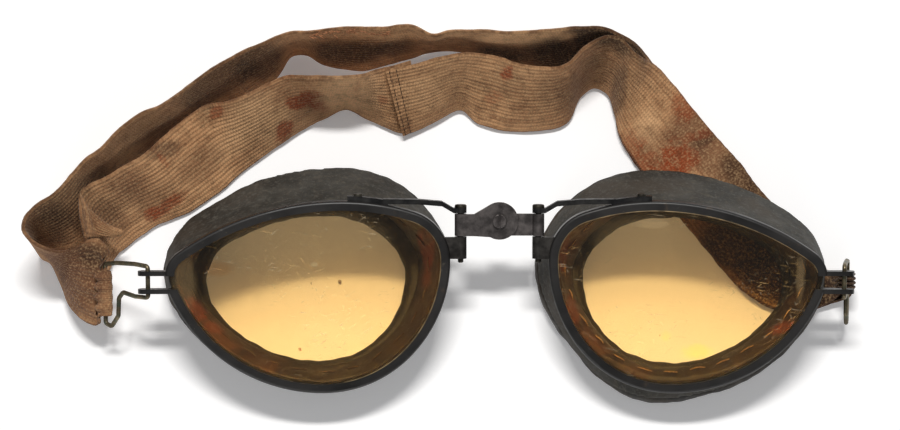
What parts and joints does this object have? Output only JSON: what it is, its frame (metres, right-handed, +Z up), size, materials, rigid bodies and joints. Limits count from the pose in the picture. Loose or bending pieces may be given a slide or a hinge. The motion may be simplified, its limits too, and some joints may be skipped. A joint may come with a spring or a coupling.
{
  "type": "aviator flying goggles",
  "caption": "Folding aviator goggles: amber lenses in black rims on padded leather eye cups, joined by a hinged metal bridge and held by an elastic head strap on wire rings.",
  "frame": {"origin": "centre of the underside of the bounding box, on the table that the goggles lie on", "axes": "+X to the viewer's right along the two cups, +Y from the cheeks to the brow and on to the strap, +Z up out of the lenses; the cushions rest on z = 0"},
  "size_m": [0.2424, 0.1086, 0.0322],
  "materials": {
    "rim_enamel": "glossy black enamel, worn",
    "amber_glass": "clear amber glass",
    "cup_leather": "matt dark leather",
    "lining_leather": "brown leather, stitched",
    "cushion_leather": "smooth dark grey padded leather",
    "lug_steel": "dull grey plate",
    "brace_steel": "satin charcoal strip",
    "rivet_steel": "dull dark rivet",
    "pin_steel": "dull dark pin",
    "ring_brass": "tarnished wire",
    "link_steel": "dark plated steel",
    "washer_steel": "dull steel",
    "screw_steel": "dull hexagon",
    "strap_webbing": "ribbed elastic webbing, stained"
  },
  "bodies": {
    "left_cup": {"left_rim": "rim_enamel", "left_lens": "amber_glass", "left_cup_wall": "cup_leather", "left_lining": "lining_leather", "left_cushion": "cushion_leather", "left_hinge_lug": "lug_steel", "left_brace": "brace_steel", "left_brace_rivet": "rivet_steel", "left_hinge_pin": "pin_steel", "strap": "strap_webbing"},
    "left_link": {"left_link": "link_steel", "friction_washer": "washer_steel", "spring_washer": "washer_steel", "pivot_screw": "screw_steel", "pivot_nut": "screw_steel"},
    "right_link": {"right_link": "link_steel"},
    "right_cup": {"right_rim": "rim_enamel", "right_lens": "amber_glass", "right_cup_wall": "cup_leather", "right_lining": "lining_leather", "right_cushion": "cushion_leather", "right_hinge_lug": "lug_steel", "right_brace": "brace_steel", "right_brace_rivet": "rivet_steel", "right_hinge_pin": "pin_steel"},
    "left_ring": {"left_strap_ring": "ring_brass"},
    "right_ring": {"right_strap_ring": "ring_brass"}
  },
  "joints": [
    {"name": "left_bridge_hinge", "type": "hinge", "parent": "left_cup", "child": "left_link", "pos_m": [0.0069, -0.00532, 0.0265], "axis": [0, 0.9511, 0.309], "range_deg": [-80, 15], "deforming": ["strap"]},
    {"name": "bridge_pivot", "type": "hinge", "parent": "left_link", "child": "right_link", "pos_m": [0.0179, -0.00532, 0.0265], "axis": [0, -0.309, 0.9511], "range_deg": [-12, 12], "deforming": ["strap"]},
    {"name": "right_bridge_hinge", "type": "hinge", "parent": "right_link", "child": "right_cup", "pos_m": [0.0289, -0.00532, 0.0265], "axis": [0, 0.9511, 0.309], "range_deg": [-80, 15], "deforming": ["strap"]},
    {"name": "left_ring_swivel", "type": "hinge", "parent": "left_cup", "child": "left_ring", "pos_m": [-0.08128, -0.02292, 0.02564], "axis": [0, 0.9511, 0.309], "range_deg": [-35, 70], "deforming": ["strap"]},
    {"name": "right_ring_swivel", "type": "hinge", "parent": "right_cup", "child": "right_ring", "pos_m": [0.11508, -0.02288, 0.02554], "axis": [0, 0.9511, 0.309], "range_deg": [-110, 5], "deforming": ["strap"]}
  ]
}
